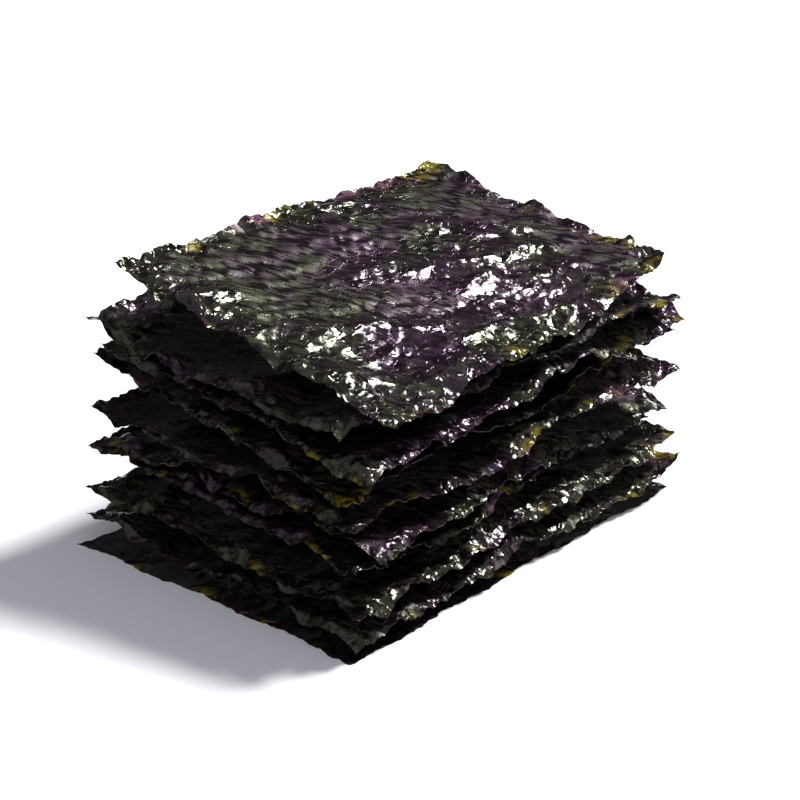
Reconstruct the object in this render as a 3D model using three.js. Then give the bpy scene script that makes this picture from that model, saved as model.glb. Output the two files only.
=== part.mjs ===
// A stack of ten crinkled sheets of dried laver, each cut to a sixth of a standard sheet.
// Millimetres, +Z up. X runs along the long cut edges and Y along the short ones. The origin is
// on the surface that the stack lies on, under the middle of its bounding box.
// Corners are named as they are seen by someone who looks at the stack's near corner:
// front (-X, -Y), right (+X, -Y), back (+X, +Y) and left (-X, +Y).

import * as THREE from 'three';

// Driving dimensions
const STANDARD_LENGTH = 210;
const STANDARD_WIDTH = 190;
const SHEET_LENGTH = STANDARD_WIDTH / 2;
const SHEET_WIDTH = STANDARD_LENGTH / 3;
const SHEET_THICKNESS = 0.4;
const LEAST_GAP = 0.8;
const CONTACT_SOFTNESS = 0.6;

// Cut edges draw in between the corners as the sheet dries, and wander a little
const EDGE_DRAW_IN = 0.8;
const EDGE_WANDER = 0.7;
const EDGE_WANDER_LENGTH = 24;
const CORNER_POWER = 3;

// Waves that hold the sheets apart: long swells, and shorter ripples whose crests keep near the
// X direction. They calm down towards the cut edges, and the top sheet is flatter than the rest.
const SWELL = { count: 2, shortest: 38, longest: 60, height: 1.3, spread: 90 };
const RIPPLE = { count: 3, shortest: 20, longest: 30, height: 0.6, spread: 35 };
const RIM_SHARE = 0.65;
const TOP_SHARE = 0.6;

// The lowest sheet lies flat in the middle and lifts towards its rim
const BASE_SINK = 3.0;

// Each other sheet bears on the one below in dimples, one in each of these parts of its length
const BEARING_ZONES = 3;
const BEARING_RADIUS = 9;
const BEARING_MARGIN = 0.12;

// From the lowest sheet to the top one: the heights of the front, right, back and left corners over
// the surface, the cut's size beside the standard sixth, how far the front and right corners have drawn
// in if they have, the turn of the sheet in degrees, its shift along X and Y, and its tint
const SHEETS = [
  { lift: [1.2, 2.4, 1.5, 1.0], size: 1.03, turn: 0.5, shift: [-1.8, 0.4], tint: '#20221d' },
  { lift: [4.2, 5.4, 6.0, 6.4], size: 1.03, turn: -0.4, shift: [-0.9, -0.6], tint: '#1f1c24' },
  { lift: [8.4, 10.4, 11.0, 12.0], size: 1.02, turn: 0.2, shift: [-0.7, -0.5], tint: '#24261c' },
  { lift: [17.2, 14.8, 18.6, 21.4], size: 1, drawn: [0, 4], turn: 0.8, shift: [-1, 0.7], tint: '#2a2320' },
  { lift: [20.8, 17.2, 20.6, 23.2], size: 0.99, turn: 2.6, shift: [0.3, -0.1], tint: '#221c27' },
  { lift: [23.6, 28.2, 27.4, 29.4], size: 1, turn: -1.8, shift: [-0.4, 0.0], tint: '#25201f' },
  { lift: [30.6, 35.6, 34.6, 38.0], size: 0.98, turn: -0.9, shift: [0.3, 0.8], tint: '#2e3019' },
  { lift: [35.2, 37.4, 38.8, 42.8], size: 1, turn: 0.2, shift: [1.2, -0.9], tint: '#2a2026' },
  { lift: [39.2, 43.2, 44.2, 44.4], size: 0.99, drawn: [6, 0], turn: -2.8, shift: [0, 0.6], tint: '#26211d' },
  { lift: [43.2, 48.6, 53.6, 57.8], size: 0.98, drawn: [3, 5], turn: 1.4, shift: [4.2, -2], tint: '#2b2530' },
];

// Facets
const CELLS_LONG = 19;
const CELLS_WIDE = 14;
const POINTS_LONG = CELLS_LONG + 1;
const POINTS_WIDE = CELLS_WIDE + 1;

const LAVER_ROUGHNESS = 0.35;

// Repeatable draws from 0 to 1: a linear congruential generator with 32-bit state
function seededDraws(seed) {
  const multiplier = 1664525;
  const increment = 1013904223;
  const modulus = 2 ** 32;
  let state = (seed * multiplier + increment) % modulus;
  return () => {
    state = (state * multiplier + increment) % modulus;
    return state / modulus;
  };
}

function drawWaves(kind, draw) {
  return Array.from({ length: kind.count }, () => {
    const heading = THREE.MathUtils.degToRad(90 + (2 * draw() - 1) * kind.spread);
    const number = (2 * Math.PI) / THREE.MathUtils.lerp(kind.shortest, kind.longest, draw());
    return {
      x: Math.cos(heading) * number,
      y: Math.sin(heading) * number,
      phase: 2 * Math.PI * draw(),
      height: kind.height * THREE.MathUtils.lerp(0.6, 1.2, draw()),
    };
  });
}

function layOut(sheet, level) {
  const draw = seededDraws(level + 1);
  return {
    ...sheet,
    name: `sheet_${String(level + 1).padStart(2, '0')}`,
    turnAngle: THREE.MathUtils.degToRad(sheet.turn),
    waves: [...drawWaves(SWELL, draw), ...drawWaves(RIPPLE, draw)],
    wander: Array.from({ length: 4 }, () => 2 * Math.PI * draw()),
  };
}

const layers = SHEETS.map(layOut);
const bearings = SHEETS.map(() => []);

// A point of a sheet's outline grid, u along its length and v along its width, each from 0 to 1
function gridPoint(layer, u, v) {
  const across = 2 * u - 1;
  const along = 2 * v - 1;
  const x = ((layer.size * SHEET_LENGTH) / 2) * across;
  const y = ((layer.size * SHEET_WIDTH) / 2) * along;
  const turns = (2 * Math.PI) / EDGE_WANDER_LENGTH;
  const [rightPhase, leftPhase, farPhase, nearPhase] = layer.wander;
  const wanderX = EDGE_WANDER * Math.sin(y * turns + (across > 0 ? rightPhase : leftPhase));
  const wanderY = EDGE_WANDER * Math.sin(x * turns + (along > 0 ? farPhase : nearPhase));
  const drawInX = EDGE_DRAW_IN * (1 - along ** 2);
  const drawInY = EDGE_DRAW_IN * (1 - across ** 2);
  const [frontDrawn, rightDrawn] = layer.drawn ?? [0, 0];
  const front = frontDrawn * Math.SQRT1_2 * ((1 - u) * (1 - v)) ** CORNER_POWER;
  const right = rightDrawn * Math.SQRT1_2 * (u * (1 - v)) ** CORNER_POWER;
  return new THREE.Vector2(
    x - across * drawInX + across ** 4 * wanderX + front - right,
    y - along * drawInY + along ** 4 * wanderY + front + right,
  );
}

function toStack(layer, local) {
  const [shiftX, shiftY] = layer.shift;
  return local.clone().rotateAround(new THREE.Vector2(), layer.turnAngle)
    .add(new THREE.Vector2(shiftX, shiftY));
}

function toSheet(layer, point) {
  const [shiftX, shiftY] = layer.shift;
  return point.clone().sub(new THREE.Vector2(shiftX, shiftY))
    .rotateAround(new THREE.Vector2(), -layer.turnAngle);
}

// The height a sheet takes by itself: its corners' heights blended across it, with its waves
function freeHeight(layer, local) {
  const u = local.x / (layer.size * SHEET_LENGTH) + 0.5;
  const v = local.y / (layer.size * SHEET_WIDTH) + 0.5;
  const [front, right, back, left] = layer.lift;
  const near = THREE.MathUtils.lerp(front, right, u);
  const far = THREE.MathUtils.lerp(left, back, u);
  const rim = Math.min(Math.max(Math.abs(2 * u - 1), Math.abs(2 * v - 1)), 1) ** 2;
  const share = THREE.MathUtils.lerp(1, RIM_SHARE, rim) * (layer === layers.at(-1) ? TOP_SHARE : 1);
  const swell = layer.waves.reduce(
    (sum, wave) => sum + wave.height * Math.sin(local.x * wave.x + local.y * wave.y + wave.phase),
    0,
  );
  const sink = layer === layers[0] ? BASE_SINK * (1 - rim) : 0;
  return THREE.MathUtils.lerp(near, far, v) + share * swell - sink;
}

function softMaximum(a, b) {
  return (a + b + Math.hypot(a - b, CONTACT_SOFTNESS)) / 2;
}

function dimpleDepth(level, local) {
  return bearings[level].reduce(
    (sum, { at, depth }) => sum + depth * Math.exp(-((at.distanceTo(local) / BEARING_RADIUS) ** 2)),
    0,
  );
}

// The height of a sheet's middle surface in the stack: its own, or what the sheet below leaves
function restHeight(level, point) {
  const layer = layers[level];
  const local = toSheet(layer, point);
  const free = freeHeight(layer, local) - dimpleDepth(level, local);
  if (level === 0) {
    return Math.max(free, SHEET_THICKNESS / 2);
  }
  return softMaximum(free, restHeight(level - 1, point) + SHEET_THICKNESS + LEAST_GAP);
}

// The inner grid point of one zone of a sheet that is closest to the sheet below
function closestBearing(level, zone) {
  const layer = layers[level];
  const candidates = [];
  for (let j = 0; j < POINTS_WIDE; j += 1) {
    for (let i = 0; i < POINTS_LONG; i += 1) {
      const u = i / CELLS_LONG;
      const v = j / CELLS_WIDE;
      const inner = Math.min(u, 1 - u, v, 1 - v) > BEARING_MARGIN;
      if (inner && Math.floor(u * BEARING_ZONES) === zone) {
        const at = gridPoint(layer, u, v);
        const floor = restHeight(level - 1, toStack(layer, at)) + SHEET_THICKNESS + LEAST_GAP;
        candidates.push({ at, depth: Math.max(freeHeight(layer, at) - floor, 0) });
      }
    }
  }
  return candidates.reduce((best, next) => (next.depth < best.depth ? next : best));
}

for (let level = 1; level < layers.length; level += 1) {
  for (let zone = 0; zone < BEARING_ZONES; zone += 1) {
    bearings[level].push(closestBearing(level, zone));
  }
}

// Grid indices round the rim, anticlockwise as seen from above
function rimLoop() {
  const loop = [];
  for (let i = 0; i < CELLS_LONG; i += 1) loop.push([i, 0]);
  for (let j = 0; j < CELLS_WIDE; j += 1) loop.push([CELLS_LONG, j]);
  for (let i = CELLS_LONG; i > 0; i -= 1) loop.push([i, CELLS_WIDE]);
  for (let j = CELLS_WIDE; j > 0; j -= 1) loop.push([0, j]);
  return loop;
}

// Two wavy faces on one grid, split into triangles alike, closed by a band round the rim
function sheetGeometry(level) {
  const layer = layers[level];
  const positions = [];
  for (const side of [1, -1]) {
    for (let j = 0; j < POINTS_WIDE; j += 1) {
      for (let i = 0; i < POINTS_LONG; i += 1) {
        const local = gridPoint(layer, i / CELLS_LONG, j / CELLS_WIDE);
        const height = restHeight(level, toStack(layer, local));
        positions.push(local.x, local.y, height + (side * SHEET_THICKNESS) / 2);
      }
    }
  }

  const upper = (i, j) => j * POINTS_LONG + i;
  const lower = (i, j) => POINTS_LONG * POINTS_WIDE + upper(i, j);
  const triangles = [];
  for (let j = 0; j < CELLS_WIDE; j += 1) {
    for (let i = 0; i < CELLS_LONG; i += 1) {
      triangles.push(upper(i, j), upper(i + 1, j), upper(i + 1, j + 1));
      triangles.push(upper(i, j), upper(i + 1, j + 1), upper(i, j + 1));
      triangles.push(lower(i, j), lower(i + 1, j + 1), lower(i + 1, j));
      triangles.push(lower(i, j), lower(i, j + 1), lower(i + 1, j + 1));
    }
  }
  const loop = rimLoop();
  loop.forEach((from, k) => {
    const to = loop[(k + 1) % loop.length];
    triangles.push(lower(...from), lower(...to), upper(...to));
    triangles.push(lower(...from), upper(...to), upper(...from));
  });

  const geometry = new THREE.BufferGeometry();
  geometry.setAttribute('position', new THREE.Float32BufferAttribute(positions, 3));
  geometry.setIndex(triangles);
  geometry.computeVertexNormals();
  return geometry;
}

function laverSheet(layer, level) {
  const material = new THREE.MeshStandardMaterial({
    color: layer.tint,
    roughness: LAVER_ROUGHNESS,
    metalness: 0,
  });
  const mesh = new THREE.Mesh(sheetGeometry(level), material);
  mesh.name = layer.name;
  mesh.position.set(...layer.shift, 0);
  mesh.rotation.z = layer.turnAngle;
  return mesh;
}

const stack = new THREE.Group();
stack.name = 'dried_laver_stack';
stack.add(...layers.map(laverSheet));

const box = new THREE.Box3().setFromObject(stack, true);
const middle = box.getCenter(new THREE.Vector3());
stack.position.set(-middle.x, -middle.y, -box.min.z);

export default stack;
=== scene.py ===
"""A stack of crinkled sheets of dried laver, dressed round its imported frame."""

import math
import random

import bpy
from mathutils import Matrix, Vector, bvhtree, kdtree, noise


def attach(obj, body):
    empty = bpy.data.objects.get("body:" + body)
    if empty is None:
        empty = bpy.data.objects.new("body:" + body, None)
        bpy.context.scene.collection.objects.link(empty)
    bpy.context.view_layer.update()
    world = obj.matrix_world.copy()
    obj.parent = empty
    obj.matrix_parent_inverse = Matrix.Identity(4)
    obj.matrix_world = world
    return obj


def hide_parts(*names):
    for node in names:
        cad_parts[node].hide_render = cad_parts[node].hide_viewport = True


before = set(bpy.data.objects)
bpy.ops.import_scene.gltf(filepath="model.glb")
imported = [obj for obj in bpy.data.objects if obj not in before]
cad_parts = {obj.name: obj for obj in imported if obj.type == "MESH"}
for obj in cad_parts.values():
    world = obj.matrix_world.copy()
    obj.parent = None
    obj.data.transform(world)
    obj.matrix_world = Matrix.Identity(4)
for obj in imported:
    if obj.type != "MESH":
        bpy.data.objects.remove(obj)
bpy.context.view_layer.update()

BODY = "root"
SHEET_NODES = sorted(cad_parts)
MM = 0.001

# The frame's sheets: thickness, and the least upward share of a normal on an upper face
FRAME_THICKNESS = 0.4 * MM
LEAST_UPWARD = 0.2
MERGE_DISTANCE = 0.001 * MM

# Rounding and splitting of the frame's cells of 5 mm, to about 0.4 mm
ROUNDING_LEVELS = 2
SPLITTING_CUTS = 2

# Long ridges of the top sheet in millimetres: middle, heading in degrees, length and share of the height
TOP_RIDGES = (
    (10, -2, -23, 48, 0.9),
    (-17, -13, -25, 42, 0.9),
    (-27, -26, -24, 36, 0.75),
    (11, -29, -10, 32, 1.8),
    (-36, 12, -24, 14, 0.8),
    (21, -17, -23, 30, 0.7),
    (28, 2, -38, 26, 1.0),
    (18, 26, -8, 32, 0.8),
    (-2, -26, -24, 26, 0.45),
)

# Ranges that the other sheets' ridges are drawn from, for the same five values
RIDGE_RANGES = ((-48, 48), (-35, 35), (-40, -5), (20, 45), (0.5, 1.0))

# How far a ridge strays from its straight line, over what length, and how far from it a ridge can reach
RIDGE_STRAY = 5 * MM
RIDGE_STRAY_LENGTH = 16 * MM
RIDGE_REACH = 14 * MM

# Polish of the film: its strength on a ridge, how quickly it falls off beside the ridge's height, and the
# size and swing of its patches along the rim
RIDGE_POLISH = 1.8
RIDGE_POLISH_FALL = 0.33
RIM_POLISH_PATCH = 6 * MM
RIM_POLISH_SWING = 1.6

# Widths of the ragged band at the cut edge and of the rim that flutters
RAGGED_BAND = 2.5 * MM
RIM_BAND = 9 * MM

# Share of the creases' height: size of its patches, mean, swing and least value
CREASED_PATCH = 13 * MM
CREASED_MEAN = 0.65
CREASED_SWING = 0.9
CREASED_LEAST = 0.45

# Headings of the creases along the sheet, across it and at the rim
CREASE_HEADING = math.radians(-14)
CROSS_HEADING = math.radians(48)
RIM_HEADING = math.radians(85)

# A marble texture's unit beside the spacing of its waves, which cross its axes at 45 degrees
MARBLE_UNIT = 1.125
MARBLE_TURN = math.radians(45)

# Length of a soft fold beside its width
FOLD_STRETCH = 2.2

# Ripples: length beside spacing, swell at their flat tops and at a groove's end, and the share of their
# height that polish takes away
RIPPLE_STRETCH = 4.5
RIPPLE_TOP = 0.4
GROOVE_END = 0.24
RIPPLE_CALM = 0.6

# Curl of the rim: size of its patches, mean, swing, and how quickly it turns up past the side corners
CURL_PATCH = 7 * MM
CURL_MEAN = 0.6
CURL_SWING = 1.2
CURL_TURN = 3

# Seeds of the reliefs, which a sheet's level is added to, and how far in metres a seed of 1 moves a texture
CREASE_SEED, CROSS_SEED, FLUTTER_SEED, EDGE_SEED, RIM_SEED = 20, 40, 80, 100, 120
SEED_STEP = (0.31, 0.17, 0.23)

# Steps through the noise of the ripples and of the curl from one sheet to the next
RIPPLE_STEP = 7
CURL_STEP = 5

# Angle past which a film's edge stays sharp, and how far below a sheet the one above it is looked for
SHARP_EDGE = math.radians(60)
PROBE_DEPTH = 20 * MM

FLOOR_SIDE = 6.0
CAMERA_CLIP = 0.01

# Spots of the top sheet's edge where the film is worn thin, its olive and mauve there carrying painted
# light shining through it and painted sheen, or, with a minus, lies thick: middle and radius in
# millimetres, and strength
TOP_WORN_AND_GLOW = (
    (40, -24, 9, 0.4),
    (44, 3, 5, 0.35),
    (44, 34, 6, 0.3),
    (0, 34, 5, 0.3),
    (-43, -27, 5, 0.25),
    (-45, 33, 9, -0.3),
    (33, 34, 6, 0.3),
    (22, 34, 5, 0.3),
    (-9, 34, 5, 0.3),
)

# Spots of the top sheet's edge where the thin film is mauve, partly as a painted pink sheen: the same four
# values
TOP_BLUSH_AND_SHEEN = (
    (34, 34, 7, 0.3),
    (22, 34, 6, 0.3),
    (-9, 34, 6, 0.3),
    (-42, 34, 6, 0.3),
)

bl_info = {
    "name": "Dried laver stack",
    "version": (1, 0, 0),
    "blender": (4, 5, 0),
    "location": "3D View > Sidebar > Laver",
    "description": "Crumples thin laver sheets over a stack's frame and sets up its studio",
    "category": "Object",
}


def linear(hex_colour):
    """The linear colour, with alpha, of an sRGB hex value such as #2a1f33."""
    parts = [int(hex_colour[i:i + 2], 16) / 255 for i in (1, 3, 5)]
    return (*((p / 12.92 if p <= 0.04045 else ((p + 0.055) / 1.055) ** 2.4) for p in parts), 1.0)


class LaverSheetSettings(bpy.types.PropertyGroup):
    """Sizes of the film and its relief, and the colours of dried laver."""

    film: bpy.props.FloatProperty(
        name="Film", description="Thickness of a sheet", default=0.08 * MM, unit="LENGTH")
    ridge_width: bpy.props.FloatProperty(
        name="Ridge width", description="Half width of a sheet's long ridges",
        default=2.8 * MM, unit="LENGTH")
    ridge_height: bpy.props.FloatProperty(
        name="Ridge height", description="Height of a sheet's long ridges",
        default=1.8 * MM, unit="LENGTH")
    ridge_count: bpy.props.IntProperty(
        name="Ridge count", description="Long ridges on each lower sheet", default=10)
    fold_size: bpy.props.FloatProperty(
        name="Fold size", description="Width of the soft folds", default=9 * MM, unit="LENGTH")
    fold_height: bpy.props.FloatProperty(
        name="Fold height", description="Height of the soft folds", default=1.0 * MM, unit="LENGTH")
    crease_size: bpy.props.FloatProperty(
        name="Crease size", description="Spacing of the sharp creases", default=5 * MM, unit="LENGTH")
    crease_height: bpy.props.FloatProperty(
        name="Crease height", description="Height of the sharp creases", default=0.4 * MM, unit="LENGTH")
    cross_size: bpy.props.FloatProperty(
        name="Cross size", description="Spacing of the cross creases", default=3.2 * MM, unit="LENGTH")
    cross_height: bpy.props.FloatProperty(
        name="Cross height", description="Height of the cross creases", default=0.2 * MM, unit="LENGTH")
    ripple_size: bpy.props.FloatProperty(
        name="Ripple size", description="Spacing of the fine ripples", default=1.3 * MM, unit="LENGTH")
    ripple_height: bpy.props.FloatProperty(
        name="Ripple height", description="Height of the fine ripples", default=0.55 * MM, unit="LENGTH")
    grain: bpy.props.FloatProperty(
        name="Grain", description="Heading of the ripples and of the blades in the film",
        subtype="ANGLE", default=math.radians(-60))
    flutter_size: bpy.props.FloatProperty(
        name="Flutter size", description="Length of the edge's flutter", default=7 * MM, unit="LENGTH")
    flutter_height: bpy.props.FloatProperty(
        name="Flutter height", description="Height of the edge's flutter",
        default=4.0 * MM, unit="LENGTH")
    curl_width: bpy.props.FloatProperty(
        name="Curl width", description="Width of the rim that curls", default=2.2 * MM, unit="LENGTH")
    curl_height: bpy.props.FloatProperty(
        name="Curl height", description="How far the rim curls up or down",
        default=1.1 * MM, unit="LENGTH")
    edge_size: bpy.props.FloatProperty(
        name="Edge size", description="Length of a ragged edge's bites", default=2 * MM, unit="LENGTH")
    edge_depth: bpy.props.FloatProperty(
        name="Edge depth", description="Depth of a ragged edge's bites", default=1.4 * MM, unit="LENGTH")
    seed: bpy.props.FloatProperty(
        name="Seed", description="Chooses where the patches of pigment fall", default=9.8)
    purple_sheen: bpy.props.StringProperty(
        name="Purple sheen", description="Tint of the gloss where the film is purple", default="#ffdffb")
    green_sheen: bpy.props.StringProperty(
        name="Green sheen", description="Tint of the gloss where the film is green", default="#f6ffd8")
    purple: bpy.props.StringProperty(
        name="Purple", description="Film where the purple pigment shows", default="#301e2d")
    green: bpy.props.StringProperty(
        name="Green", description="Film where it is greenest", default="#303021")
    # Black is also painted into the ripples' grooves as painted shade
    black: bpy.props.StringProperty(
        name="Black", description="Film where it lies thickest", default="#0d060b")
    # Olive is partly the thin film's own colour and partly painted light shining through the thin film
    olive: bpy.props.StringProperty(
        name="Olive", description="Thin green film at the edges", default="#756710")
    # Mauve is partly the thin film's own colour and partly a painted pink sheen
    mauve: bpy.props.StringProperty(
        name="Mauve", description="Thin purple film at the edges", default="#664658")


class LaverStageSettings(bpy.types.PropertyGroup):
    """Camera, lights and floor."""

    lens: bpy.props.FloatProperty(
        name="Lens", description="Focal length in millimetres", default=117)
    camera_azimuth: bpy.props.FloatProperty(
        name="Azimuth", description="Camera's turn round the stack", subtype="ANGLE",
        default=math.radians(-48.5))
    camera_elevation: bpy.props.FloatProperty(
        name="Elevation", description="Camera's angle over the floor", subtype="ANGLE",
        default=math.radians(24))
    camera_distance: bpy.props.FloatProperty(
        name="Distance", description="From the camera to its target", default=0.513, unit="LENGTH")
    camera_target: bpy.props.FloatVectorProperty(
        name="Target", description="Point in the middle of the picture", subtype="TRANSLATION",
        default=(0.0014, -0.0018, 0.025))
    key_azimuth: bpy.props.FloatProperty(
        name="Key azimuth", description="Turn of the key light round the stack", subtype="ANGLE",
        default=math.radians(73.5))
    key_elevation: bpy.props.FloatProperty(
        name="Key elevation", description="Key light's angle over the floor", subtype="ANGLE",
        default=math.radians(54))
    key_distance: bpy.props.FloatProperty(
        name="Key distance", description="From the key light to the stack", default=1.1, unit="LENGTH")
    key_size: bpy.props.FloatProperty(
        name="Key size", description="Side of the key light's soft box", default=0.24, unit="LENGTH")
    key_power: bpy.props.FloatProperty(
        name="Key power", description="Power of the key light", default=22.5, unit="POWER")
    fill: bpy.props.FloatProperty(
        name="Fill", description="Brightness of the ceiling over the camera", default=0.75)
    fill_elevation: bpy.props.FloatProperty(
        name="Fill elevation", description="Angle over the floor of the brightest ceiling",
        subtype="ANGLE", default=math.radians(60))
    walls: bpy.props.FloatProperty(
        name="Walls", description="Brightness of the walls", default=0.05)
    air: bpy.props.StringProperty(
        name="Air", description="Tint of the light all round", default="#f4f4ff")
    floor: bpy.props.StringProperty(
        name="Floor", description="Colour of the floor", default="#f2f2f4")


def add_node(tree, kind, settings=(), inputs=()):
    """Adds a node with its settings; an input is a value or another node's output."""
    made = tree.nodes.new(kind)
    for name, value in dict(settings).items():
        setattr(made, name, value)
    for name, value in dict(inputs).items():
        if isinstance(value, bpy.types.NodeSocket):
            tree.links.new(value, made.inputs[name])
        else:
            made.inputs[name].default_value = value
    return made


def dried_laver(look):
    """Dried purple laver, pressed thin: a near-black glassy film that shows its purple and green pigment in
    patches, darkened with painted shade in the grooves of its ripples, thins to olive or mauve at spots of
    its cut edges, partly its own colour and partly painted light shining through the film and painted
    sheen, and glints on its ridges and creases."""
    material = bpy.data.materials.new("dried_laver_film")
    material.use_nodes = True
    tree = material.node_tree
    tree.nodes.clear()
    place = add_node(tree, "ShaderNodeTexCoord").outputs["Object"]

    # The blades of the plant lie one way in the film
    laid = add_node(tree, "ShaderNodeMapping", {"vector_type": "TEXTURE"}, {
        "Vector": place, "Rotation": (0, 0, look.grain), "Scale": (4 * MM, 1 * MM, 1 * MM)})

    # Pigment lies in patches of about 16 mm, mottled along the blades at about 1 by 4 mm
    patches = add_node(tree, "ShaderNodeTexNoise", {"noise_dimensions": "4D"}, {
        "Vector": place, "W": look.seed, "Scale": 1 / (16 * MM), "Detail": 5.0, "Roughness": 0.7})
    mottle = add_node(tree, "ShaderNodeTexNoise", {}, {
        "Vector": laid.outputs["Vector"], "Scale": 1.0, "Detail": 4.0, "Roughness": 0.65})
    pigment = add_node(tree, "ShaderNodeMapRange", {"interpolation_type": "SMOOTHSTEP"}, {
        "Value": patches.outputs["Fac"], "From Min": 0.42, "From Max": 0.56})
    body = add_node(tree, "ShaderNodeMix", {"data_type": "RGBA"}, {
        "Factor": pigment.outputs["Result"], 6: linear(look.purple), 7: linear(look.green)})
    sheen = add_node(tree, "ShaderNodeMix", {"data_type": "RGBA"}, {
        "Factor": pigment.outputs["Result"], 6: linear(look.purple_sheen), 7: linear(look.green_sheen)})
    thick = add_node(tree, "ShaderNodeMapRange", {"interpolation_type": "SMOOTHSTEP"}, {
        "Value": mottle.outputs["Fac"], "From Min": 0.4, "From Max": 0.6})
    film = add_node(tree, "ShaderNodeMix", {"data_type": "RGBA"}, {
        "Factor": thick.outputs["Result"], 6: linear(look.black), 7: body.outputs[2]})

    # Here and there the film thins over its last 1 to 9 mm to olive or mauve, most on the top sheet. The
    # tints are partly the thin film's own colour and partly painted light: olive stands for light shining
    # through the thin film, mauve for a pink sheen
    edge = add_node(tree, "ShaderNodeAttribute", {"attribute_name": "edge_distance"})
    worn_and_glow = add_node(tree, "ShaderNodeAttribute", {"attribute_name": "edge_wear_and_glow"})
    spots = add_node(tree, "ShaderNodeTexNoise", {"noise_dimensions": "4D"}, {
        "Vector": place, "W": look.seed, "Scale": 1 / (9 * MM), "Detail": 3.0, "Roughness": 0.6})
    wear = add_node(tree, "ShaderNodeMath", {"operation": "ADD"}, {
        0: spots.outputs["Fac"], 1: worn_and_glow.outputs["Fac"]})
    reach = add_node(tree, "ShaderNodeMapRange", {}, {
        "Value": wear.outputs["Value"], "From Min": 0.5, "From Max": 0.9,
        "To Min": 1 * MM, "To Max": 9 * MM})
    near = add_node(tree, "ShaderNodeMapRange", {"interpolation_type": "SMOOTHSTEP"}, {
        "Value": edge.outputs["Fac"], "From Max": reach.outputs["Result"], "To Min": 1.0, "To Max": 0.0})
    thin = add_node(tree, "ShaderNodeMapRange", {"interpolation_type": "SMOOTHSTEP"}, {
        "Value": wear.outputs["Value"], "From Min": 0.56, "From Max": 0.64,
        "To Max": near.outputs["Result"]})
    # Blush spots turn the edge tint to mauve, partly a painted pink sheen
    blush = add_node(tree, "ShaderNodeAttribute", {"attribute_name": "edge_blush_and_sheen"})
    pigment_less_blush = add_node(tree, "ShaderNodeMath", {"operation": "SUBTRACT"}, {
        0: patches.outputs["Fac"], 1: blush.outputs["Fac"]})
    olive_share = add_node(tree, "ShaderNodeMapRange", {"interpolation_type": "SMOOTHSTEP"}, {
        "Value": pigment_less_blush.outputs["Value"], "From Min": 0.42, "From Max": 0.5})
    rim = add_node(tree, "ShaderNodeMix", {"data_type": "RGBA"}, {
        "Factor": olive_share.outputs["Result"], 6: linear(look.mauve), 7: linear(look.olive)})
    colour = add_node(tree, "ShaderNodeMix", {"data_type": "RGBA"}, {
        "Factor": thin.outputs["Result"], 6: film.outputs[2], 7: rim.outputs[2]})

    # Stretched over a ridge the film is polished and breaks into flat facets of about 1.5 by 3 mm,
    # each with its own tilt; elsewhere it has a satin sheen
    polish = add_node(tree, "ShaderNodeAttribute", {"attribute_name": "polish"})
    crest = add_node(tree, "ShaderNodeMapRange", {"interpolation_type": "SMOOTHSTEP"}, {
        "Value": polish.outputs["Fac"], "From Min": 0.45, "From Max": 0.8})
    warp = add_node(tree, "ShaderNodeTexNoise", {}, {
        "Vector": place, "Scale": 1 / (4 * MM), "Detail": 2.0})
    warped = add_node(tree, "ShaderNodeVectorMath", {"operation": "MULTIPLY_ADD"}, {
        0: warp.outputs["Color"], 1: (2 * MM,) * 3, 2: place})
    drawn = add_node(tree, "ShaderNodeMapping", {"vector_type": "TEXTURE"}, {
        "Vector": warped.outputs["Vector"], "Rotation": (0, 0, math.radians(5)),
        "Scale": (1.4, 0.7, 1.0)})
    facets = add_node(tree, "ShaderNodeTexVoronoi", {"feature": "F1"}, {
        "Vector": drawn.outputs["Vector"], "Scale": 1 / (2.2 * MM)})
    offset = add_node(tree, "ShaderNodeVectorMath", {"operation": "SUBTRACT"}, {
        0: drawn.outputs["Vector"], 1: facets.outputs["Position"]})
    lean = add_node(tree, "ShaderNodeVectorMath", {"operation": "SUBTRACT"}, {
        0: facets.outputs["Color"], 1: (0.5, 0.5, 0.5)})
    facet = add_node(tree, "ShaderNodeVectorMath", {"operation": "DOT_PRODUCT"}, {
        0: offset.outputs["Vector"], 1: lean.outputs["Vector"]})

    # The ripples' grooves are smooth, so that they mirror only the dark room, and their colour is darkened
    # to black as painted shade
    depth = add_node(tree, "ShaderNodeAttribute", {"attribute_name": "groove"})
    groove = add_node(tree, "ShaderNodeMapRange", {"interpolation_type": "SMOOTHSTEP"}, {
        "Value": depth.outputs["Fac"], "From Min": 0.05, "From Max": 0.85})
    groove_shaded = add_node(tree, "ShaderNodeMix", {"data_type": "RGBA"}, {
        "Factor": groove.outputs["Result"], 6: colour.outputs[2], 7: linear(look.black)})

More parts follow.
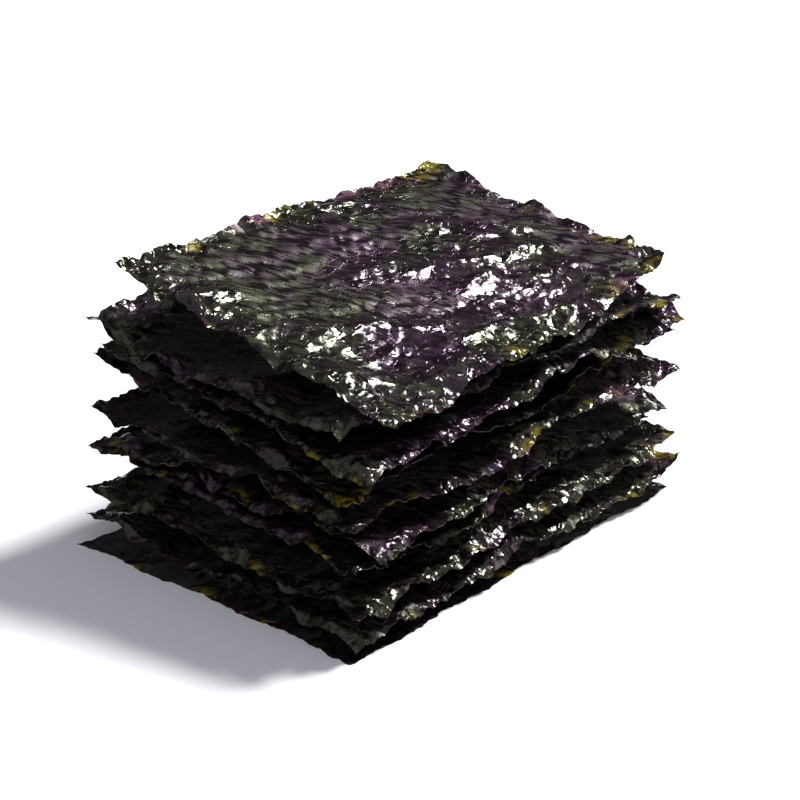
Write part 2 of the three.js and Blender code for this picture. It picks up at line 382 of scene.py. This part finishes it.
    # Glossy hair creases about 0.4 mm wide, in lengths of about 2 mm, on and round the ridges, with rounded
    # flanks that catch the light at some tilt
    strained = add_node(tree, "ShaderNodeMapRange", {"interpolation_type": "SMOOTHSTEP"}, {
        "Value": polish.outputs["Fac"], "From Min": 0.15, "From Max": 0.5})
    border = add_node(tree, "ShaderNodeTexVoronoi", {"feature": "DISTANCE_TO_EDGE"}, {
        "Vector": drawn.outputs["Vector"], "Scale": 1 / (2.4 * MM)})
    lengths = add_node(tree, "ShaderNodeTexNoise", {}, {
        "Vector": place, "Scale": 1 / (1.6 * MM), "Detail": 1.0})
    whole = add_node(tree, "ShaderNodeMapRange", {"interpolation_type": "SMOOTHSTEP"}, {
        "Value": lengths.outputs["Fac"], "From Min": 0.49, "From Max": 0.55,
        "To Max": strained.outputs["Result"]})
    nearness = add_node(tree, "ShaderNodeMapRange", {}, {
        "Value": border.outputs["Distance"], "From Max": 0.1, "To Min": 1.0, "To Max": 0.0})
    flank = add_node(tree, "ShaderNodeMath", {"operation": "POWER"}, {
        0: nearness.outputs["Result"], 1: 2.0})
    hair = add_node(tree, "ShaderNodeMath", {"operation": "MULTIPLY"}, {
        0: flank.outputs["Value"], 1: whole.outputs["Result"]})
    gleam = add_node(tree, "ShaderNodeMapRange", {"interpolation_type": "SMOOTHSTEP"}, {
        "Value": border.outputs["Distance"], "From Min": 0.05, "From Max": 0.1,
        "To Min": whole.outputs["Result"], "To Max": 0.0})

    # Streaks of the blades, facets and hair creases, one bump on another, with fainter streaks on a ridge
    calm = add_node(tree, "ShaderNodeMapRange", {}, {
        "Value": crest.outputs["Result"], "To Min": 1.0, "To Max": 0.3})
    streaked = add_node(tree, "ShaderNodeBump", {}, {
        "Strength": calm.outputs["Result"], "Distance": 0.25 * MM, "Height": mottle.outputs["Fac"]})
    tilted = add_node(tree, "ShaderNodeBump", {}, {
        "Strength": crest.outputs["Result"], "Distance": 0.4, "Height": facet.outputs["Value"],
        "Normal": streaked.outputs["Normal"]})
    creased = add_node(tree, "ShaderNodeBump", {}, {
        "Strength": 1.0, "Distance": 0.1 * MM, "Height": hair.outputs["Value"],
        "Normal": tilted.outputs["Normal"]})

    # Ridges, hair creases and grooves are glossy
    sleek = add_node(tree, "ShaderNodeMath", {"operation": "MAXIMUM"}, {
        0: crest.outputs["Result"], 1: gleam.outputs["Result"]})
    smooth = add_node(tree, "ShaderNodeMath", {"operation": "MAXIMUM"}, {
        0: sleek.outputs["Value"], 1: groove.outputs["Result"]})
    gloss = add_node(tree, "ShaderNodeMapRange", {}, {
        "Value": smooth.outputs["Value"], "To Min": 0.48, "To Max": 0.17})
    shader = add_node(tree, "ShaderNodeBsdfPrincipled", {}, {
        "Base Color": groove_shaded.outputs[2], "Roughness": gloss.outputs["Result"],
        "Specular IOR Level": 0.55, "Specular Tint": sheen.outputs[2], "IOR": 1.45,
        "Normal": creased.outputs["Normal"]})
    add_node(tree, "ShaderNodeOutputMaterial", {}, {"Surface": shader.outputs["BSDF"]})
    return material


def select_only(piece):
    """Makes a piece the active object, and the only one that is selected."""
    bpy.ops.object.select_all(action="DESELECT")
    piece.select_set(True)
    bpy.context.view_layer.objects.active = piece


def upper_face(node, name):
    """A copy of a frame sheet's upper face, as a grid of four-sided faces at the sheet's mid height."""
    select_only(node)
    bpy.ops.object.duplicate()
    piece = bpy.context.active_object
    piece.name = piece.data.name = name
    bpy.ops.object.mode_set(mode="EDIT")
    bpy.ops.mesh.select_mode(type="FACE")
    bpy.ops.mesh.select_all(action="SELECT")
    bpy.ops.mesh.remove_doubles(threshold=MERGE_DISTANCE)
    bpy.ops.mesh.select_all(action="DESELECT")
    bpy.ops.object.mode_set(mode="OBJECT")
    for face in piece.data.polygons:
        face.select = face.normal.z < LEAST_UPWARD
    bpy.ops.object.mode_set(mode="EDIT")
    bpy.ops.mesh.delete(type="FACE")
    bpy.ops.mesh.select_all(action="SELECT")
    bpy.ops.mesh.tris_convert_to_quads(face_threshold=math.pi, shape_threshold=math.pi)
    bpy.ops.transform.translate(value=(0, 0, -FRAME_THICKNESS / 2))
    bpy.ops.object.mode_set(mode="OBJECT")
    return piece


def refine(piece):
    """Rounds the frame's facets and splits them finely enough for the creases."""
    smooth = piece.modifiers.new("round", "SUBSURF")
    smooth.levels = smooth.render_levels = ROUNDING_LEVELS
    smooth.boundary_smooth = "PRESERVE_CORNERS"
    bpy.ops.object.modifier_apply(modifier=smooth.name)
    bpy.ops.object.mode_set(mode="EDIT")
    bpy.ops.mesh.select_all(action="SELECT")
    bpy.ops.mesh.subdivide(number_cuts=SPLITTING_CUTS)
    bpy.ops.object.mode_set(mode="OBJECT")


def mark_spots(mesh, name, spots):
    """Stores the sum of some spots' strengths at each point."""
    strengths = [
        sum(strength * math.exp(-(math.dist(vertex.co.xy, (x * MM, y * MM)) / (radius * MM)) ** 2)
            for x, y, radius, strength in spots)
        for vertex in mesh.vertices
    ]
    mesh.attributes.new(name, "FLOAT", "POINT").data.foreach_set("value", strengths)


def mark_zones(piece):
    """Stores each point's distance from the cut edge, and vertex groups for the ragged cut edge, the rim
    and how strongly each point is creased."""
    mesh = piece.data
    uses = {}
    for face in mesh.polygons:
        for key in face.edge_keys:
            uses[key] = uses.get(key, 0) + 1
    rim = sorted({index for key, count in uses.items() if count == 1 for index in key})
    tree = kdtree.KDTree(len(rim))
    for index in rim:
        tree.insert(mesh.vertices[index].co, index)
    tree.balance()
    distances = [tree.find(vertex.co)[2] for vertex in mesh.vertices]
    mesh.attributes.new("edge_distance", "FLOAT", "POINT").data.foreach_set("value", distances)
    for name, fade in (("cut_edge", RAGGED_BAND), ("rim", RIM_BAND)):
        group = piece.vertex_groups.new(name=name)
        for index, distance in enumerate(distances):
            if distance < fade:
                group.add([index], 1 - distance / fade, "REPLACE")
    creased = piece.vertex_groups.new(name="creased")
    for vertex in mesh.vertices:
        share = CREASED_MEAN + CREASED_SWING * noise.noise(vertex.co / CREASED_PATCH)
        creased.add([vertex.index], min(max(share, CREASED_LEAST), 1.0), "REPLACE")


def relief(piece, kind, height, spacing, settings, turn=0.0, seed=0.0, way="Z", group=""):
    """Raises a procedural relief on the piece and applies it. Spacing is the texture's unit along and
    across the direction that turn gives."""
    bpy.ops.object.empty_add(location=[step * seed for step in SEED_STEP], rotation=(0, 0, turn))
    guide = bpy.context.active_object
    guide.scale = spacing
    bpy.context.view_layer.update()
    select_only(piece)
    texture = bpy.data.textures.new(kind, kind)
    for key, value in settings.items():
        setattr(texture, key, value)
    modifier = piece.modifiers.new(kind, "DISPLACE")
    modifier.texture = texture
    modifier.texture_coords = "OBJECT"
    modifier.texture_coords_object = guide
    modifier.direction = way
    modifier.strength = height
    modifier.vertex_group = group
    bpy.ops.object.modifier_apply(modifier=modifier.name)
    bpy.data.textures.remove(texture)
    bpy.data.objects.remove(guide)


def sharp_creases(piece, size, height, heading, seed, group="creased"):
    """Creases like those of crumpled film: a triangle wave, broken up by turbulence."""
    unit = MARBLE_UNIT * size
    relief(piece, "MARBLE", height, (unit, unit, 1.0),
           {"noise_basis_2": "TRI", "noise_scale": 2.2, "noise_depth": 1, "turbulence": 11.0},
           turn=heading + MARBLE_TURN, seed=seed, group=group)


def lower_ridges(level, look):
    """Ridges drawn for one of the sheets below the top one."""
    draw = random.Random(level)
    for _ in range(look.ridge_count):
        yield tuple(draw.uniform(low, high) for low, high in RIDGE_RANGES)


def raise_ridges(piece, ridges, look):
    """Raises the long ridges that cross a sheet aslant, and stores how polished they and the rim leave each
    point."""
    mesh = piece.data
    rim = piece.vertex_groups["rim"].index
    polish = []
    for vertex in mesh.vertices:
        nearness = sum(entry.weight for entry in vertex.groups if entry.group == rim)
        patch = noise.noise(vertex.co / RIM_POLISH_PATCH)
        polish.append(nearness * max(0.0, 1.0 + RIM_POLISH_SWING * patch))
    for x, y, heading, length, share in ridges:
        middle = Vector((x * MM, y * MM, 0))
        run = Vector((math.cos(math.radians(heading)), math.sin(math.radians(heading)), 0))
        for vertex in mesh.vertices:
            offset = vertex.co - middle
            along = offset.x * run.x + offset.y * run.y
            across = offset.y * run.x - offset.x * run.y
            if abs(along) > length * MM or abs(across) > RIDGE_REACH:
                continue
            stray = RIDGE_STRAY * noise.noise(Vector((along / RIDGE_STRAY_LENGTH, x, y)))
            away = (across - stray) / look.ridge_width
            fade = along / (0.5 * length * MM)
            vertex.co.z += share * look.ridge_height * math.exp(-away ** 2 - fade ** 4)
            spread = math.exp(-(RIDGE_POLISH_FALL * away) ** 2 - fade ** 4)
            polish[vertex.index] += min(1.0, RIDGE_POLISH * share) * spread
    mesh.attributes.new("polish", "FLOAT", "POINT").data.foreach_set("value", polish)


def raise_ripples(piece, level, look):
    """Raises fine lens-shaped ripples along the grain, lower on the taut ridges, and stores how deep in
    a groove each point lies, which the film's colour darkens as painted shade."""
    mesh = piece.data
    creased = piece.vertex_groups["creased"]
    polish = mesh.attributes["polish"].data
    grain = Vector((math.cos(look.grain), math.sin(look.grain)))
    grooves = []
    for vertex in mesh.vertices:
        along = vertex.co.xy.dot(grain)
        across = vertex.co.xy.cross(grain)
        place = Vector((along / RIPPLE_STRETCH, across, 0)) / look.ripple_size
        swell = abs(noise.noise(place + Vector((0, 0, RIPPLE_STEP * level))))
        share = creased.weight(vertex.index) * (1 - RIPPLE_CALM * min(1.0, polish[vertex.index].value))
        vertex.co.z += share * look.ripple_height * min(swell, RIPPLE_TOP)
        grooves.append(max(0.0, 1 - swell / GROOVE_END))
    mesh.attributes.new("groove", "FLOAT", "POINT").data.foreach_set("value", grooves)


def curl_rim(piece, level, look):
    """Curls the rim in some places: down on the -X and -Y sides, up on the others."""
    mesh = piece.data
    half_x, half_y = (max(vertex.co[axis] for vertex in mesh.vertices) for axis in (0, 1))
    for vertex, edge in zip(mesh.vertices, mesh.attributes["edge_distance"].data):
        nearness = max(0.0, 1 - edge.value / look.curl_width)
        place = Vector((vertex.co.x, vertex.co.y, 0)) / CURL_PATCH + Vector((0, 0, CURL_STEP * level))
        turn = min(1.0, max(-1.0, CURL_TURN * (vertex.co.x / half_x + vertex.co.y / half_y)))
        share = max(0.0, CURL_MEAN + CURL_SWING * noise.noise(place))
        vertex.co.z += turn * look.curl_height * nearness ** 2 * share


def crumple(piece, level, look):
    """Soft folds, sharp creases both ways, fine ripples, a fluttering, creased and curled rim and a ragged
    cut edge."""
    soft = {"noise_scale": 1.0, "noise_depth": 1, "noise_type": "SOFT_NOISE"}
    relief(piece, "CLOUDS", look.fold_height,
           (FOLD_STRETCH * look.fold_size, look.fold_size, look.fold_size), soft, seed=level)
    sharp_creases(piece, look.crease_size, look.crease_height, CREASE_HEADING, level + CREASE_SEED)
    sharp_creases(piece, look.cross_size, look.cross_height, CROSS_HEADING, level + CROSS_SEED)
    raise_ripples(piece, level, look)
    relief(piece, "CLOUDS", look.flutter_height, (look.flutter_size,) * 3, soft,
           seed=level + FLUTTER_SEED, group="rim")
    sharp_creases(piece, look.cross_size, look.crease_height, RIM_HEADING, level + RIM_SEED, group="rim")
    curl_rim(piece, level, look)
    relief(piece, "CLOUDS", look.edge_depth, (look.edge_size,) * 3,
           {"noise_scale": 1.0, "noise_depth": 2, "cloud_type": "COLOR"}, seed=level + EDGE_SEED,
           way="RGB_TO_XYZ", group="cut_edge")


def thicken(piece, look):
    """Gives the film its two faces and a sharp cut edge."""
    select_only(piece)
    wall = piece.modifiers.new("film", "SOLIDIFY")
    wall.thickness = look.film
    wall.offset = 0.0
    bpy.ops.object.modifier_apply(modifier=wall.name)
    bpy.ops.object.shade_smooth_by_angle(angle=SHARP_EDGE)


def lay_on_floor(piece, look):
    """Flattens what would sink into the floor."""
    lowest = look.film / 2
    select_only(piece)
    for vertex in piece.data.vertices:
        vertex.select = vertex.co.z < lowest
    bpy.ops.object.mode_set(mode="EDIT")
    bpy.ops.mesh.select_mode(type="VERT")
    bpy.ops.transform.resize(value=(1, 1, 0), center_override=(0, 0, lowest))
    bpy.ops.object.mode_set(mode="OBJECT")


def press_under(piece, above, clearance):
    """Lowers what would cut into the sheet above."""
    for vertex in piece.data.vertices:
        start = vertex.co - Vector((0, 0, PROBE_DEPTH))
        cover = above.ray_cast(start, Vector((0, 0, 1)))[0]
        if cover:
            vertex.co.z = min(vertex.co.z, cover.z - clearance)


class LAVER_OT_sheets(bpy.types.Operator):
    """Makes a crumpled film for each sheet of the frame"""

    bl_idname = "laver.sheets"
    bl_label = "Laver sheets"

    def execute(self, context):
        look = context.scene.laver_sheets
        film = dried_laver(look)
        above = None
        for level, name in reversed(list(enumerate(SHEET_NODES))):
            piece = upper_face(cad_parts[name], f"laver_{name}")
            refine(piece)
            top = name == SHEET_NODES[-1]
            mark_spots(piece.data, "edge_wear_and_glow", TOP_WORN_AND_GLOW if top else ())
            mark_spots(piece.data, "edge_blush_and_sheen", TOP_BLUSH_AND_SHEEN if top else ())
            mark_zones(piece)
            raise_ridges(piece, TOP_RIDGES if top else lower_ridges(level, look), look)
            crumple(piece, level, look)
            if above:
                press_under(piece, above, 2 * look.film)
            if level == 0:
                lay_on_floor(piece, look)
            above = bvhtree.BVHTree.FromObject(piece, context.evaluated_depsgraph_get())
            thicken(piece, look)
            piece.data.materials.clear()
            piece.data.materials.append(film)
            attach(piece, BODY)
            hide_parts(name)
        return {"FINISHED"}


def direction(azimuth, elevation):
    """The unit vector from the stack towards a camera or light; azimuth 0 stands at -Y."""
    return Vector((
        math.sin(azimuth) * math.cos(elevation),
        -math.cos(azimuth) * math.cos(elevation),
        math.sin(elevation),
    ))


def studio_floor(stage):
    """Matt white paint, which soft light leaves without texture."""
    material = bpy.data.materials.new("matt_white_floor")
    material.use_nodes = True
    shader = material.node_tree.nodes["Principled BSDF"]
    shader.inputs["Base Color"].default_value = linear(stage.floor)
    shader.inputs["Roughness"].default_value = 0.9
    shader.inputs["Specular IOR Level"].default_value = 0.1
    return material


class LAVER_OT_stage(bpy.types.Operator):
    """Adds the pale floor, the soft light and the camera"""

    bl_idname = "laver.stage"
    bl_label = "Laver stage"

    def execute(self, context):
        scene = context.scene
        stage = scene.laver_stage
        bpy.ops.object.select_all(action="DESELECT")
        bpy.ops.mesh.primitive_plane_add(size=FLOOR_SIDE)
        floor = context.active_object
        floor.name = "studio_floor"
        floor.data.materials.append(studio_floor(stage))

        middle = Vector(stage.camera_target)
        towards_key = direction(stage.key_azimuth, stage.key_elevation)
        bpy.ops.object.light_add(
            type="AREA", location=middle + towards_key * stage.key_distance,
            rotation=towards_key.to_track_quat("Z", "Y").to_euler())
        key = context.active_object
        key.name = "key_light"
        key.data.energy = stage.key_power
        key.data.size = stage.key_size

        scene.world = bpy.data.worlds.new("studio_air")
        scene.world.use_nodes = True
        tree = scene.world.node_tree
        place = add_node(tree, "ShaderNodeTexCoord").outputs["Object"]
        nearness = add_node(tree, "ShaderNodeVectorMath", {"operation": "DOT_PRODUCT"}, {
            0: place, 1: direction(stage.camera_azimuth, stage.fill_elevation)})
        glow = add_node(tree, "ShaderNodeMapRange", {"interpolation_type": "SMOOTHSTEP"}, {
            "Value": nearness.outputs["Value"], "From Min": 0.3, "From Max": 0.95,
            "To Min": stage.walls, "To Max": stage.fill})
        air = tree.nodes["Background"]
        air.inputs["Color"].default_value = linear(stage.air)
        tree.links.new(glow.outputs["Result"], air.inputs["Strength"])
        scene.view_settings.view_transform = "Standard"

        towards_camera = direction(stage.camera_azimuth, stage.camera_elevation)
        bpy.ops.object.camera_add(
            location=middle + towards_camera * stage.camera_distance,
            rotation=towards_camera.to_track_quat("Z", "Y").to_euler())
        camera = context.active_object
        camera.name = "photo_camera"
        camera.data.lens = stage.lens
        camera.data.clip_start = CAMERA_CLIP
        scene.camera = camera
        return {"FINISHED"}


class LAVER_PT_panel(bpy.types.Panel):
    """Lists the steps of the stack"""

    bl_idname = "LAVER_PT_panel"
    bl_label = "Dried laver stack"
    bl_space_type = "VIEW_3D"
    bl_region_type = "UI"
    bl_category = "Laver"

    def draw(self, context):
        for step, settings in (("laver.sheets", "laver_sheets"), ("laver.stage", "laver_stage")):
            self.layout.operator(step)
            group = getattr(context.scene, settings)
            for name in group.__annotations__:
                self.layout.prop(group, name)


CLASSES = (LaverSheetSettings, LaverStageSettings, LAVER_OT_sheets, LAVER_OT_stage, LAVER_PT_panel)


def register():
    for item in CLASSES:
        bpy.utils.register_class(item)
    bpy.types.Scene.laver_sheets = bpy.props.PointerProperty(type=LaverSheetSettings)
    bpy.types.Scene.laver_stage = bpy.props.PointerProperty(type=LaverStageSettings)


def unregister():
    del bpy.types.Scene.laver_stage
    del bpy.types.Scene.laver_sheets
    for item in reversed(CLASSES):
        bpy.utils.unregister_class(item)


def main():
    register()
    bpy.ops.laver.sheets()
    bpy.ops.laver.stage()


if __name__ == "__main__":
    main()
